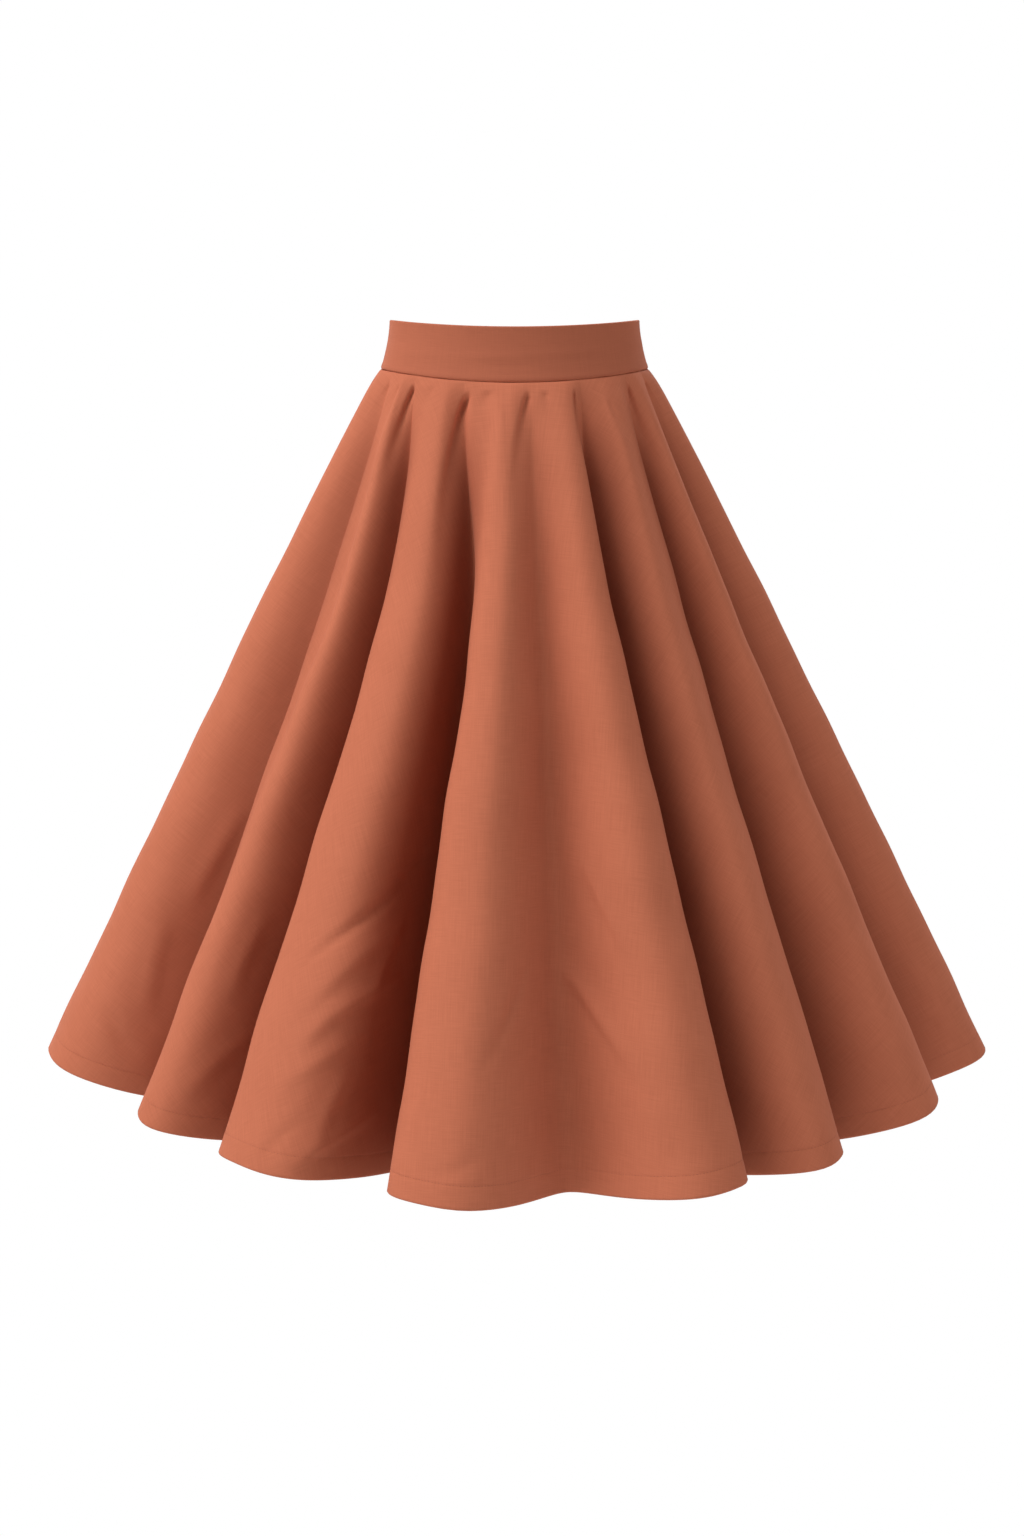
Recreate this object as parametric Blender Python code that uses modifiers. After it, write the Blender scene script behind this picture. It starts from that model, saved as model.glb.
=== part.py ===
"""Circle skirt: two quarter-circle backs and a half-circle front hanging in deep flutes from a fitted waistband.

Metres, +Z up. The front faces -Y and the wearer's left is +X. The origin is the centre of the waistband ring,
half way up the band at its sides. Angles round the waist run from 0 at the centre front to +90 at +X.
"""
import math

import bmesh
import bpy
import numpy as np
from mathutils import Matrix, Vector

# Cloth walls and the space left at each seam.
PANEL_WALL = 0.0014
BAND_WALL = 0.0028
SEAM_SPACE = 0.0003

# The waistband: half width and half depth of its top edge and of the seam under it.
BAND_TOP_HALF = (0.1205, 0.0915)
BAND_SEAM_HALF = (0.1293, 0.0985)
BAND_TOP_Z = 0.0255
BAND_TOP_DIP = {"front": 0.0058, "back": 0.0072}
SEAM_DEPTH = {"side": 0.0465, "front": 0.0572}
BAND_FLARE_POWER = 1.7
BAND_STEPS_ROUND = 80
BAND_STEPS_DOWN = 5
BAND_EDGE_ROUND = 0.0009

# How the cloth leaves the band: a small puff under the seam, then waves that grow towards the hem.
PUFF = 0.0035
PUFF_START = 0.012
PUFF_END = 0.16
CONE_HALF = (0.405, 0.350)
WAVE_POWER = 0.80
SETTLED = 0.35
STEPS_PER_FOLD = 8
LEVELS = (0, 0.02, 0.06, 0.12, 0.20, 0.30, 0.42, 0.55, 0.68, 0.84, 1)

# Every crest and valley round the skirt, from the side seam on the wearer's right, past the front, and back to it.
# seam: where it starts at the waist, degrees. settled: the angle it follows once it has left the waist, degrees.
# hem: its angle at the hem, degrees. radius: its distance from the axis at the hem, metres.
# drop: how far the hem hangs there below the band's top edge at the sides, metres.
# round: the reach of the hem's turn there, metres. lean: how far that turn is swung from square, degrees.
FOLD_COLUMNS = ("seam", "settled", "hem", "radius", "drop", "round", "lean")
FOLDS = (
    ("side seam, right", -93, -98, -108.0, 0.345, 0.765, 0.030, 0),
    ("crest 1", -77, -89, -89.5, 0.472, 0.728, 0.102, 10),
    ("valley 1", -63, -67, -78.0, 0.343, 0.759, 0.016, 4),
    ("crest 2", -54, -41, -67.0, 0.391, 0.744, 0.101, -20),
    ("valley 2", -46, -39, -52.5, 0.262, 0.772, 0.018, 6),
    ("crest 3", -30, -18, -39.5, 0.393, 0.747, 0.118, -11),
    ("valley 3", -21, -9, -19.0, 0.256, 0.770, 0.027, 6),
    ("crest 4", -3, 1, -11.5, 0.422, 0.746, 0.088, -23),
    ("valley 4", 6, 6, 8.0, 0.349, 0.759, 0.031, -2),
    ("crest 5", 20, 15, 26.7, 0.429, 0.743, 0.081, 21),
    ("valley 5", 28, 25, 28.0, 0.262, 0.776, 0.022, -6),
    ("crest 6", 42, 38, 46.5, 0.407, 0.751, 0.086, 20),
    ("valley 6", 53, 60, 58.7, 0.301, 0.776, 0.016, -4),
    ("crest 7", 61, 59, 72.5, 0.429, 0.741, 0.097, 9),
    ("valley 7", 68, 69, 81.6, 0.345, 0.765, 0.019, -2),
    ("crest 8", 79, 86, 91.8, 0.480, 0.731, 0.078, -8),
    ("side seam, left", 93, 96, 105.0, 0.345, 0.765, 0.030, 0),
    ("crest 9", 103, 104, 112.5, 0.461, 0.736, 0.092, 8),
    ("valley 9", 113, 114, 121.0, 0.338, 0.764, 0.026, 0),
    ("crest 10", 125, 127, 132.5, 0.421, 0.745, 0.098, -16),
    ("valley 10", 139, 141, 146.0, 0.270, 0.774, 0.020, 5),
    ("crest 11", 148, 150, 152.5, 0.434, 0.742, 0.078, 14),
    ("valley 11", 157, 157, 163.5, 0.348, 0.762, 0.032, -4),
    ("crest 12", 168, 167, 172.0, 0.424, 0.744, 0.084, -12),
    ("centre back seam", 180, 180, 180.0, 0.312, 0.768, 0.030, 0),
    ("crest 13", 189, 190, 187.5, 0.438, 0.740, 0.070, 4),
    ("valley 13", 198, 199, 196.0, 0.305, 0.770, 0.022, 6),
    ("crest 14", 211, 209, 206.5, 0.420, 0.745, 0.100, -18),
    ("valley 14", 224, 223, 219.0, 0.264, 0.775, 0.018, -6),
    ("crest 15", 233, 231, 226.5, 0.440, 0.741, 0.080, 12),
    ("valley 15", 243, 241, 235.0, 0.352, 0.761, 0.030, 0),
    ("crest 16", 255, 253, 244.5, 0.455, 0.737, 0.090, -8),
    ("side seam, right", 267, 262, 252.0, 0.345, 0.765, 0.030, 0),
)
SIDE_SEAM_RIGHT, SIDE_SEAM_LEFT, BACK_SEAM, ROUND_AGAIN = 0, 16, 24, 32
HEM_SAMPLES = 48

# The concealed zip at the centre back: its tape inside the skirt, its slider and pull tab outside the band.
TAPE_WIDTH = 0.024
TAPE_WALL = 0.0008
TAPE_LENGTH_ON_SKIRT = 0.150
TAPE_TOP_MARGIN = 0.003
SLIDER_SIZE = (0.0056, 0.0072, 0.0016)
SLIDER_BELOW_TOP = 0.0085
ARCH_WIDTH = 0.0016
ARCH_POST = 0.0012
ARCH_ROOM = 0.0022
ARCH_BAR = 0.0009
HINGE_BELOW_SLIDER = 0.0015
TAB_WALL = 0.0010
TAB_LENGTH = 0.0185
TAB_HALF_WIDTHS = (("crossbar", -0.0006, 0.0022), ("arms", 0.0056, 0.0022), ("plate", 0.0120, 0.0028),
                   ("end", 0.0172, 0.0024), ("tip", 0.0185, 0.0013))
TAB_WINDOW = (0.0006, 0.0058, 0.0013)

COLOURS = {
    "panel": (0.510, 0.147, 0.080, 1.0),
    "band": (0.470, 0.133, 0.072, 1.0),
    "tape": (0.400, 0.105, 0.060, 1.0),
    "metal": (0.380, 0.130, 0.080, 1.0),
}


def clear_scene():
    """Takes every object out of the open file."""
    for obj in list(bpy.data.objects):
        bpy.data.objects.remove(obj, do_unlink=True)


def new_collection(name):
    """A collection under the scene's own."""
    collection = bpy.data.collections.new(name)
    bpy.context.scene.collection.children.link(collection)
    return collection


def new_material(name, colour, roughness, metallic):
    """A Principled material with one colour."""
    material = bpy.data.materials.new(name)
    material.use_nodes = True
    shader = material.node_tree.nodes["Principled BSDF"]
    shader.inputs["Base Color"].default_value = colour
    shader.inputs["Roughness"].default_value = roughness
    shader.inputs["Metallic"].default_value = metallic
    material.diffuse_color = colour
    return material


def fold_column(name):
    """One column of the fold table as an array."""
    place = 1 + FOLD_COLUMNS.index(name)
    return np.array([row[place] for row in FOLDS], dtype=float)


def turn(degrees):
    """Unit plan direction out from the axis at an angle."""
    angle = np.radians(degrees)
    return np.stack([np.sin(angle), -np.cos(angle)], axis=-1)


def along(degrees):
    """Plan direction square to the radius at an angle, pointing on round the skirt."""
    angle = np.radians(degrees)
    return np.stack([np.cos(angle), np.sin(angle)], axis=-1)


def hem_curve():
    """The hem's plan line, one cubic from each fold to the next: its length at each row, and points by length."""
    hem, lean, handle = fold_column("hem"), fold_column("lean"), fold_column("round")
    tip = fold_column("radius")[:, None] * turn(hem)
    heading = along(hem + lean) * handle[:, None]
    share = np.linspace(0, 1, HEM_SAMPLES)[:, None]
    points, marks = [tip[:1]], [0]
    for i in range(len(FOLDS) - 1):
        start, end = tip[i], tip[i + 1]
        line = ((1 - share) ** 3 * start + 3 * (1 - share) ** 2 * share * (start + heading[i])
                + 3 * (1 - share) * share**2 * (end - heading[i + 1]) + share**3 * end)
        points.append(line[1:])
        marks.append(marks[-1] + HEM_SAMPLES - 1)
    points = np.concatenate(points)
    way = np.concatenate([[0], np.cumsum(np.linalg.norm(np.diff(points, axis=0), axis=1))])
    return way[marks], way, points


HEM_MARKS, HEM_WAY, HEM_POINTS = hem_curve()


def steady(x, values):
    """A smooth line through one value at each whole number that never overshoots them; its ends meet in slope."""
    slope = np.diff(values)
    before, after = np.concatenate([slope[-1:], slope]), np.concatenate([slope, slope[:1]])
    product = before * after
    tangent = np.where(product > 0, 2 * product / np.where(product > 0, before + after, 1), 0)
    row = np.clip(np.floor(x).astype(int), 0, len(values) - 2)
    q = x - row
    return (values[row] * (1 + 2 * q) * (1 - q) ** 2 + tangent[row] * q * (1 - q) ** 2
            + values[row + 1] * q * q * (3 - 2 * q) + tangent[row + 1] * q * q * (q - 1))


def seam_point(degrees):
    """Point on the ring where the skirt joins the band."""
    angle = np.radians(degrees)
    depth = SEAM_DEPTH["side"] + (SEAM_DEPTH["front"] - SEAM_DEPTH["side"]) * np.cos(angle) ** 2
    return np.stack([BAND_SEAM_HALF[0] * np.sin(angle), -BAND_SEAM_HALF[1] * np.cos(angle),
                     BAND_TOP_Z - depth], axis=-1)


def smooth(x):
    """Eases a share from 0 to 1."""
    x = np.clip(x, 0, 1)
    return x * x * (3 - 2 * x)


def skirt_point(fold, t):
    """Point on the skirt's outer face: fold is a place round it in rows of the fold table, t runs from seam to hem."""
    fold, t = np.broadcast_arrays(np.asarray(fold, dtype=float), np.asarray(t, dtype=float))
    seam, settled = steady(fold, fold_column("seam")), steady(fold, fold_column("settled"))
    top = seam_point(seam + (settled - seam) * smooth(t / SETTLED))
    way = steady(fold, HEM_MARKS)
    hem = np.stack([np.interp(way, HEM_WAY, HEM_POINTS[:, i]) for i in range(2)], axis=-1)
    row = np.clip(np.floor(fold).astype(int), 0, len(FOLDS) - 2)
    drop = fold_column("drop")
    hem_z = BAND_TOP_Z - (drop[row] + (drop[row + 1] - drop[row]) * smooth(fold - row))
    angle = np.arctan2(hem[..., 0], -hem[..., 1])
    reach = 1 / np.sqrt((np.sin(angle) / CONE_HALF[0]) ** 2 + (np.cos(angle) / CONE_HALF[1]) ** 2)
    cone = np.stack([reach * np.sin(angle), -reach * np.cos(angle)], axis=-1)
    down = t[..., None]
    plan = top[..., :2] * (1 - down) + cone * down + (hem - cone) * down**WAVE_POWER
    puff = PUFF * (1 - np.exp(-down / PUFF_START)) * np.exp(-down / PUFF_END)
    plan = plan + puff * plan / np.linalg.norm(plan, axis=-1, keepdims=True)
    z = top[..., 2] + (hem_z - top[..., 2]) * t
    return np.concatenate([plan, z[..., None]], axis=-1)


def band_point(degrees, share):
    """Point on the band's outer face: share runs from its top edge to the seam."""
    degrees, share = np.broadcast_arrays(np.asarray(degrees, dtype=float), np.asarray(share, dtype=float))
    angle = np.radians(degrees)
    front = np.cos(angle) > 0
    dip = np.where(front, BAND_TOP_DIP["front"], BAND_TOP_DIP["back"]) * np.cos(angle) ** 2
    seam_z = seam_point(degrees)[..., 2] + SEAM_SPACE
    top_z = BAND_TOP_Z - dip
    flare = share**BAND_FLARE_POWER
    half = [BAND_TOP_HALF[i] + (BAND_SEAM_HALF[i] - BAND_TOP_HALF[i]) * flare for i in range(2)]
    return np.stack([half[0] * np.sin(angle), -half[1] * np.cos(angle), top_z + (seam_z - top_z) * share], axis=-1)


def draw_back(edge, inner, space):
    """Moves edge points towards their inner neighbours by a set space."""
    step = inner - edge
    return edge + step * (space / np.linalg.norm(step, axis=-1, keepdims=True))


def sheet_object(name, grid, wall, material, collection):
    """A cloth wall under an outer face given as a grid of points, columns round and rows down."""
    columns, rows = grid.shape[:2]
    mesh = bpy.data.meshes.new(name)
    faces = []
    for i in range(columns - 1):
        for j in range(rows - 1):
            a = i * rows + j
            faces.append((a, a + 1, a + rows + 1, a + rows))
    mesh.from_pydata([tuple(p) for p in grid.reshape(-1, 3)], [], faces)
    mesh.materials.append(material)
    obj = bpy.data.objects.new(name, mesh)
    collection.objects.link(obj)
    solidify = obj.modifiers.new("wall", "SOLIDIFY")
    solidify.thickness = wall
    solidify.offset = -1
    solidify.use_even_offset = True
    return obj


def fold_steps(first, last):
    """Places round the skirt from one row of the fold table to another."""
    return np.linspace(first, last, (last - first) * STEPS_PER_FOLD + 1)


def panel(name, first, last, material, collection):
    """One cut piece of the skirt, from seam to seam and from band to hem."""
    grid = skirt_point(fold_steps(first, last)[:, None], np.array(LEVELS)[None, :])
    grid[0] = draw_back(grid[0], grid[1], SEAM_SPACE / 2)
    grid[-1] = draw_back(grid[-1], grid[-2], SEAM_SPACE / 2)
    return sheet_object(name, grid, PANEL_WALL, material, collection)


def waistband(material, collection):
    """The doubled band, open at the centre back, with its folded top edge rounded."""
    degrees = np.linspace(-180, 180, BAND_STEPS_ROUND + 1)
    grid = band_point(degrees[:, None], np.linspace(0, 1, BAND_STEPS_DOWN + 1)[None, :])
    grid[0] = draw_back(grid[0], grid[1], SEAM_SPACE / 2)
    grid[-1] = draw_back(grid[-1], grid[-2], SEAM_SPACE / 2)
    obj = sheet_object("waistband", grid, BAND_WALL, material, collection)
    bevel = obj.modifiers.new("folded edge", "BEVEL")
    bevel.width = BAND_EDGE_ROUND
    bevel.segments = 2
    bevel.limit_method = "ANGLE"
    bevel.angle_limit = math.radians(60)
    return obj


def inward(points):
    """Unit normals into the skirt for a strip of points, from its own grid."""
    round_way = np.gradient(points, axis=0)
    down_way = np.gradient(points, axis=1)
    normal = np.cross(round_way, down_way)
    normal /= np.linalg.norm(normal, axis=-1, keepdims=True)
    middle = points.reshape(-1, 3).mean(axis=0) * (1, 1, 0)
    facing = (normal * middle).sum(axis=-1, keepdims=True)
    return np.where(facing > 0, -normal, normal)


def tape_points():
    """The zip tape's outer face: the inner faces of the band and the backs at the centre back, moved in."""
    across = np.linspace(-TAPE_WIDTH / 2, TAPE_WIDTH / 2, 9)
    band_height = float(np.linalg.norm(band_point(180, 0) - band_point(180, 1)))
    shares = np.linspace(TAPE_TOP_MARGIN / band_height, 0.98, 6)
    band_degrees = 180 + np.degrees(across / BAND_TOP_HALF[0])
    band = band_point(band_degrees[:, None], shares[None, :])
    band = band + inward(band) * (BAND_WALL + SEAM_SPACE)
    skirt_height = float(np.linalg.norm(skirt_point(BACK_SEAM, 0) - skirt_point(BACK_SEAM, 1)))
    levels = np.linspace(0.012, TAPE_LENGTH_ON_SKIRT / skirt_height, 9)
    spacing = np.linalg.norm(skirt_point(BACK_SEAM + 0.5, levels) - skirt_point(BACK_SEAM - 0.5, levels), axis=-1)
    skirt = skirt_point(BACK_SEAM + across[:, None] / spacing[None, :], levels[None, :])
    step_in = (BAND_WALL - PANEL_WALL) * (1 - smooth(levels / 0.06))
    skirt = skirt + inward(skirt) * (PANEL_WALL + SEAM_SPACE + step_in)[None, :, None]
    return np.concatenate([band, skirt], axis=1)


def block(name, size, centre, material, collection):
    """A box by its size and centre, with its own mesh at true scale."""
    mesh = bpy.data.meshes.new(name)
    bm = bmesh.new()
    bmesh.ops.create_cube(bm, size=1.0)
    bmesh.ops.scale(bm, vec=size, verts=bm.verts)
    bmesh.ops.translate(bm, vec=centre, verts=bm.verts)
    bm.to_mesh(mesh)
    bm.free()
    mesh.materials.append(material)
    obj = bpy.data.objects.new(name, mesh)
    collection.objects.link(obj)
    return obj


def add_boolean(obj, operation, other):
    """Joins or cuts an object with another one."""
    modifier = obj.modifiers.new(other.name, "BOOLEAN")
    modifier.operation = operation
    modifier.solver = "EXACT"
    modifier.object = other


def add_small_bevel(obj, width):
    """Breaks the sharp edges of a metal piece."""
    bevel = obj.modifiers.new("broken edges", "BEVEL")
    bevel.width = width
    bevel.segments = 1
    bevel.limit_method = "ANGLE"
    bevel.angle_limit = math.radians(40)


def zip_seat():
    """Where the slider sits: a point on the band's back and the slope of the band behind the slider and tab."""
    height = float(band_point(180, 0)[2] - band_point(180, 1)[2])
    upper = band_point(180, (SLIDER_BELOW_TOP - SLIDER_SIZE[1] / 2) / height)
    lower = band_point(180, (SLIDER_BELOW_TOP + TAB_LENGTH) / height)
    run = lower - upper
    seat = upper + run * (SLIDER_SIZE[1] / 2 / np.linalg.norm(run))
    return Vector(seat), math.atan2(run[1], -run[2])


def zip_slider(seat, slope, material, collection, cutters):
    """The slider's plate with the arch that holds the pull tab."""
    anchor = bpy.data.objects.new("zip_seat", None)
    anchor.location = seat
    anchor.rotation_euler = (slope, 0, 0)
    anchor.empty_display_size = 0.005
    collection.objects.link(anchor)
    width, length, thick = SLIDER_SIZE
    slider = block("zip_slider", (width, thick, length), (0, SEAM_SPACE + thick / 2, 0), material, collection)
    arch_height = ARCH_ROOM + ARCH_BAR
    base = SEAM_SPACE + thick
    arch = block("slider_arch", (ARCH_WIDTH, arch_height + 0.0004, length),
                 (0, base + arch_height / 2 - 0.0002, 0), material, cutters)
    room = block("slider_room", (ARCH_WIDTH * 2, ARCH_ROOM, length - 2 * ARCH_POST),
                 (0, base + ARCH_ROOM / 2, 0), material, cutters)
    for obj in (slider, arch, room):
        obj.parent = anchor
    add_boolean(slider, "UNION", arch)
    add_boolean(slider, "DIFFERENCE", room)
    return slider


def hinge_point(seat, slope):
    """Centre of the pull tab's crossbar inside the slider's arch."""
    out = SEAM_SPACE + SLIDER_SIZE[2] + ARCH_ROOM / 2
    local = Vector((0, out, -HINGE_BELOW_SLIDER))
    return seat + Matrix.Rotation(slope, 3, "X") @ local


def zip_pull_tab(hinge, material, collection, cutters):
    """The pull tab, hanging plumb from its crossbar; its origin is on the hinge."""
    outline = [(half, -down) for _, down, half in TAB_HALF_WIDTHS]
    outline += [(-x, z) for x, z in reversed(outline)]
    mesh = bpy.data.meshes.new("zip_pull_tab")
    bm = bmesh.new()
    back = [bm.verts.new((x, -TAB_WALL / 2, z)) for x, z in outline]
    face = bm.faces.new(back)
    lifted = bmesh.ops.extrude_face_region(bm, geom=[face])
    moved = [item for item in lifted["geom"] if isinstance(item, bmesh.types.BMVert)]
    bmesh.ops.translate(bm, vec=(0, TAB_WALL, 0), verts=moved)
    bmesh.ops.recalc_face_normals(bm, faces=bm.faces)
    bm.to_mesh(mesh)
    bm.free()
    mesh.materials.append(material)
    tab = bpy.data.objects.new("zip_pull_tab", mesh)
    tab.location = hinge
    collection.objects.link(tab)
    top, bottom, half = TAB_WINDOW
    window = block("tab_window", (2 * half, TAB_WALL * 3, bottom - top), (0, 0, -(top + bottom) / 2),
                   material, cutters)
    window.parent = tab
    add_boolean(tab, "DIFFERENCE", window)
    add_small_bevel(tab, 0.00018)
    return tab


def build():
    """Makes the whole skirt."""
    clear_scene()
    skirt = new_collection("circle_skirt")
    cutters = new_collection("cutters")
    panel_cloth = new_material("panel_cloth", COLOURS["panel"], 0.8, 0.0)
    back_right_cloth = new_material("back_right_cloth", COLOURS["panel"], 0.8, 0.0)
    back_left_cloth = new_material("back_left_cloth", COLOURS["panel"], 0.8, 0.0)
    band_cloth = new_material("band_cloth", COLOURS["band"], 0.8, 0.0)
    tape_cloth = new_material("tape_cloth", COLOURS["tape"], 0.75, 0.0)
    slider_metal = new_material("slider_metal", COLOURS["metal"], 0.4, 0.6)
    tab_metal = new_material("tab_metal", COLOURS["metal"], 0.4, 0.6)
    panel("front_panel", SIDE_SEAM_RIGHT, SIDE_SEAM_LEFT, panel_cloth, skirt)
    panel("back_left_panel", SIDE_SEAM_LEFT, BACK_SEAM, back_left_cloth, skirt)
    panel("back_right_panel", BACK_SEAM, ROUND_AGAIN, back_right_cloth, skirt)
    waistband(band_cloth, skirt)
    sheet_object("zip_tape", tape_points(), TAPE_WALL, tape_cloth, skirt)
    seat, slope = zip_seat()
    zip_slider(seat, slope, slider_metal, skirt, cutters)
    zip_pull_tab(hinge_point(seat, slope), tab_metal, skirt, cutters)
    for obj in cutters.objects:
        obj.hide_render = True
        obj.hide_set(True)


build()
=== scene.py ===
"""Dresses the circle skirt: fine cloth on each panel, the doubled band, the hem's turn-up, sewing and the zip."""
import math

import bmesh
import bpy
import numpy as np
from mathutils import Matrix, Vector


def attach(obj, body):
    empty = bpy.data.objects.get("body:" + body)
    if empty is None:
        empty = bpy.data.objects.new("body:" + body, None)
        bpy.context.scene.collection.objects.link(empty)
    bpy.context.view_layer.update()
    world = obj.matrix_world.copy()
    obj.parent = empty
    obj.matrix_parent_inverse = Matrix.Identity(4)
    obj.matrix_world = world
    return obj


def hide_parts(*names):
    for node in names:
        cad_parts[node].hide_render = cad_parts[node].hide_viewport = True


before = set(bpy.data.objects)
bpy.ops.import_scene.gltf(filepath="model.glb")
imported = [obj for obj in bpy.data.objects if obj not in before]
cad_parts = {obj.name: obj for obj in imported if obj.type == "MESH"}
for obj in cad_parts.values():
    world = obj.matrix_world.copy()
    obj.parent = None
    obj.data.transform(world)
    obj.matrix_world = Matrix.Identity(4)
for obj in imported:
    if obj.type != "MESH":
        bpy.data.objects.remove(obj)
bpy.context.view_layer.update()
SKIRT = "skirt"

# Sizes of the form, in metres, as in the CAD.
SEAM_SPACE = 0.0003
BAND_TOP_HALF = (0.1205, 0.0915)
BAND_SEAM_HALF = (0.1293, 0.0985)
BAND_TOP_Z = 0.0255
BAND_TOP_DIP = {"front": 0.0058, "back": 0.0072}
SEAM_DEPTH = {"side": 0.0465, "front": 0.0572}
BAND_FLARE_POWER = 1.7
PUFF, PUFF_START, PUFF_END = 0.0035, 0.012, 0.16
CONE_HALF = (0.405, 0.350)
WAVE_POWER = 0.80
SETTLED = 0.35
HEM_SAMPLES = 48

# The fold table: where each crest and valley starts at the waist, the angle it settles to, and at the hem its
# angle, distance from the axis, drop under the band's top edge, reach of turn and lean. Degrees and metres.
FOLD_COLUMNS = ("seam", "settled", "hem", "radius", "drop", "round", "lean")
FOLDS = (
    ("side seam, right", -93, -98, -108.0, 0.345, 0.765, 0.030, 0),
    ("crest 1", -77, -89, -89.5, 0.472, 0.728, 0.102, 10),
    ("valley 1", -63, -67, -78.0, 0.343, 0.759, 0.016, 4),
    ("crest 2", -54, -41, -67.0, 0.391, 0.744, 0.101, -20),
    ("valley 2", -46, -39, -52.5, 0.262, 0.772, 0.018, 6),
    ("crest 3", -30, -18, -39.5, 0.393, 0.747, 0.118, -11),
    ("valley 3", -21, -9, -19.0, 0.256, 0.770, 0.027, 6),
    ("crest 4", -3, 1, -11.5, 0.422, 0.746, 0.088, -23),
    ("valley 4", 6, 6, 8.0, 0.349, 0.759, 0.031, -2),
    ("crest 5", 20, 15, 26.7, 0.429, 0.743, 0.081, 21),
    ("valley 5", 28, 25, 28.0, 0.262, 0.776, 0.022, -6),
    ("crest 6", 42, 38, 46.5, 0.407, 0.751, 0.086, 20),
    ("valley 6", 53, 60, 58.7, 0.301, 0.776, 0.016, -4),
    ("crest 7", 61, 59, 72.5, 0.429, 0.741, 0.097, 9),
    ("valley 7", 68, 69, 81.6, 0.345, 0.765, 0.019, -2),
    ("crest 8", 79, 86, 91.8, 0.480, 0.731, 0.078, -8),
    ("side seam, left", 93, 96, 105.0, 0.345, 0.765, 0.030, 0),
    ("crest 9", 103, 104, 112.5, 0.461, 0.736, 0.092, 8),
    ("valley 9", 113, 114, 121.0, 0.338, 0.764, 0.026, 0),
    ("crest 10", 125, 127, 132.5, 0.421, 0.745, 0.098, -16),
    ("valley 10", 139, 141, 146.0, 0.270, 0.774, 0.020, 5),
    ("crest 11", 148, 150, 152.5, 0.434, 0.742, 0.078, 14),
    ("valley 11", 157, 157, 163.5, 0.348, 0.762, 0.032, -4),
    ("crest 12", 168, 167, 172.0, 0.424, 0.744, 0.084, -12),
    ("centre back seam", 180, 180, 180.0, 0.312, 0.768, 0.030, 0),
    ("crest 13", 189, 190, 187.5, 0.438, 0.740, 0.070, 4),
    ("valley 13", 198, 199, 196.0, 0.305, 0.770, 0.022, 6),
    ("crest 14", 211, 209, 206.5, 0.420, 0.745, 0.100, -18),
    ("valley 14", 224, 223, 219.0, 0.264, 0.775, 0.018, -6),
    ("crest 15", 233, 231, 226.5, 0.440, 0.741, 0.080, 12),
    ("valley 15", 243, 241, 235.0, 0.352, 0.761, 0.030, 0),
    ("crest 16", 255, 253, 244.5, 0.455, 0.737, 0.090, -8),
    ("side seam, right", 267, 262, 252.0, 0.345, 0.765, 0.030, 0),
)
SIDE_SEAM_RIGHT, SIDE_SEAM_LEFT, BACK_SEAM, ROUND_AGAIN = 0, 16, 24, 32
PANELS = (("front", SIDE_SEAM_RIGHT, SIDE_SEAM_LEFT), ("back_left", SIDE_SEAM_LEFT, BACK_SEAM),
          ("back_right", BACK_SEAM, ROUND_AGAIN))
SEAMS = (SIDE_SEAM_RIGHT, SIDE_SEAM_LEFT, BACK_SEAM, ROUND_AGAIN)

# The cut: a full circle, a half for the front and a quarter for each back.
CLOTH_LENGTH = 0.755
WAIST_RADIUS = 0.1143
SEAM_ALLOWANCE = 0.012

# Fineness of the cloth's mesh: columns in each row of the fold table, with more where the folds are tight.
COLUMNS_PER_FOLD = 25
FINER_FOLDS = {0: 20, 3: 30, 5: 56, 7: 34, 8: 32, 9: 20, 13: 22, 15: 20, 19: 48, 25: 48, 27: 40}
VALLEY_CROWDING = 1.25
EDGE_COLUMNS = (0.004, 0.010, 0.020, 0.040)

# Cloth walls, where the hem's turn-up ends, and how its edge is rounded: where, how deep and how far up.
CLOTH_WALL = 0.0011
HEM_WIDTH = 0.022
HEM_WALL = 0.0021
HEM_STITCH_UP = 0.0205
HEM_EDGE, HEM_EDGE_DEPTH, HEM_EDGE_REACH = 0.0012, 0.0009, 0.0006


def fold_column(name):
    """One column of the fold table as an array."""
    place = 1 + FOLD_COLUMNS.index(name)
    return np.array([row[place] for row in FOLDS], dtype=float)


def turn(degrees):
    """Unit plan direction out from the axis at an angle."""
    angle = np.radians(degrees)
    return np.stack([np.sin(angle), -np.cos(angle)], axis=-1)


def along(degrees):
    """Plan direction square to the radius at an angle, pointing on round the skirt."""
    angle = np.radians(degrees)
    return np.stack([np.cos(angle), np.sin(angle)], axis=-1)


def smooth(x):
    """Eases a share from 0 to 1."""
    x = np.clip(x, 0, 1)
    return x * x * (3 - 2 * x)


def steady(x, values):
    """A smooth line through one value at each whole number, without overshoot; its ends meet in slope."""
    slope = np.diff(values)
    before, after = np.concatenate([slope[-1:], slope]), np.concatenate([slope, slope[:1]])
    product = before * after
    tangent = np.where(product > 0, 2 * product / np.where(product > 0, before + after, 1), 0)
    row = np.clip(np.floor(x).astype(int), 0, len(values) - 2)
    q = x - row
    return (values[row] * (1 + 2 * q) * (1 - q) ** 2 + tangent[row] * q * (1 - q) ** 2
            + values[row + 1] * q * q * (3 - 2 * q) + tangent[row + 1] * q * q * (q - 1))


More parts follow.
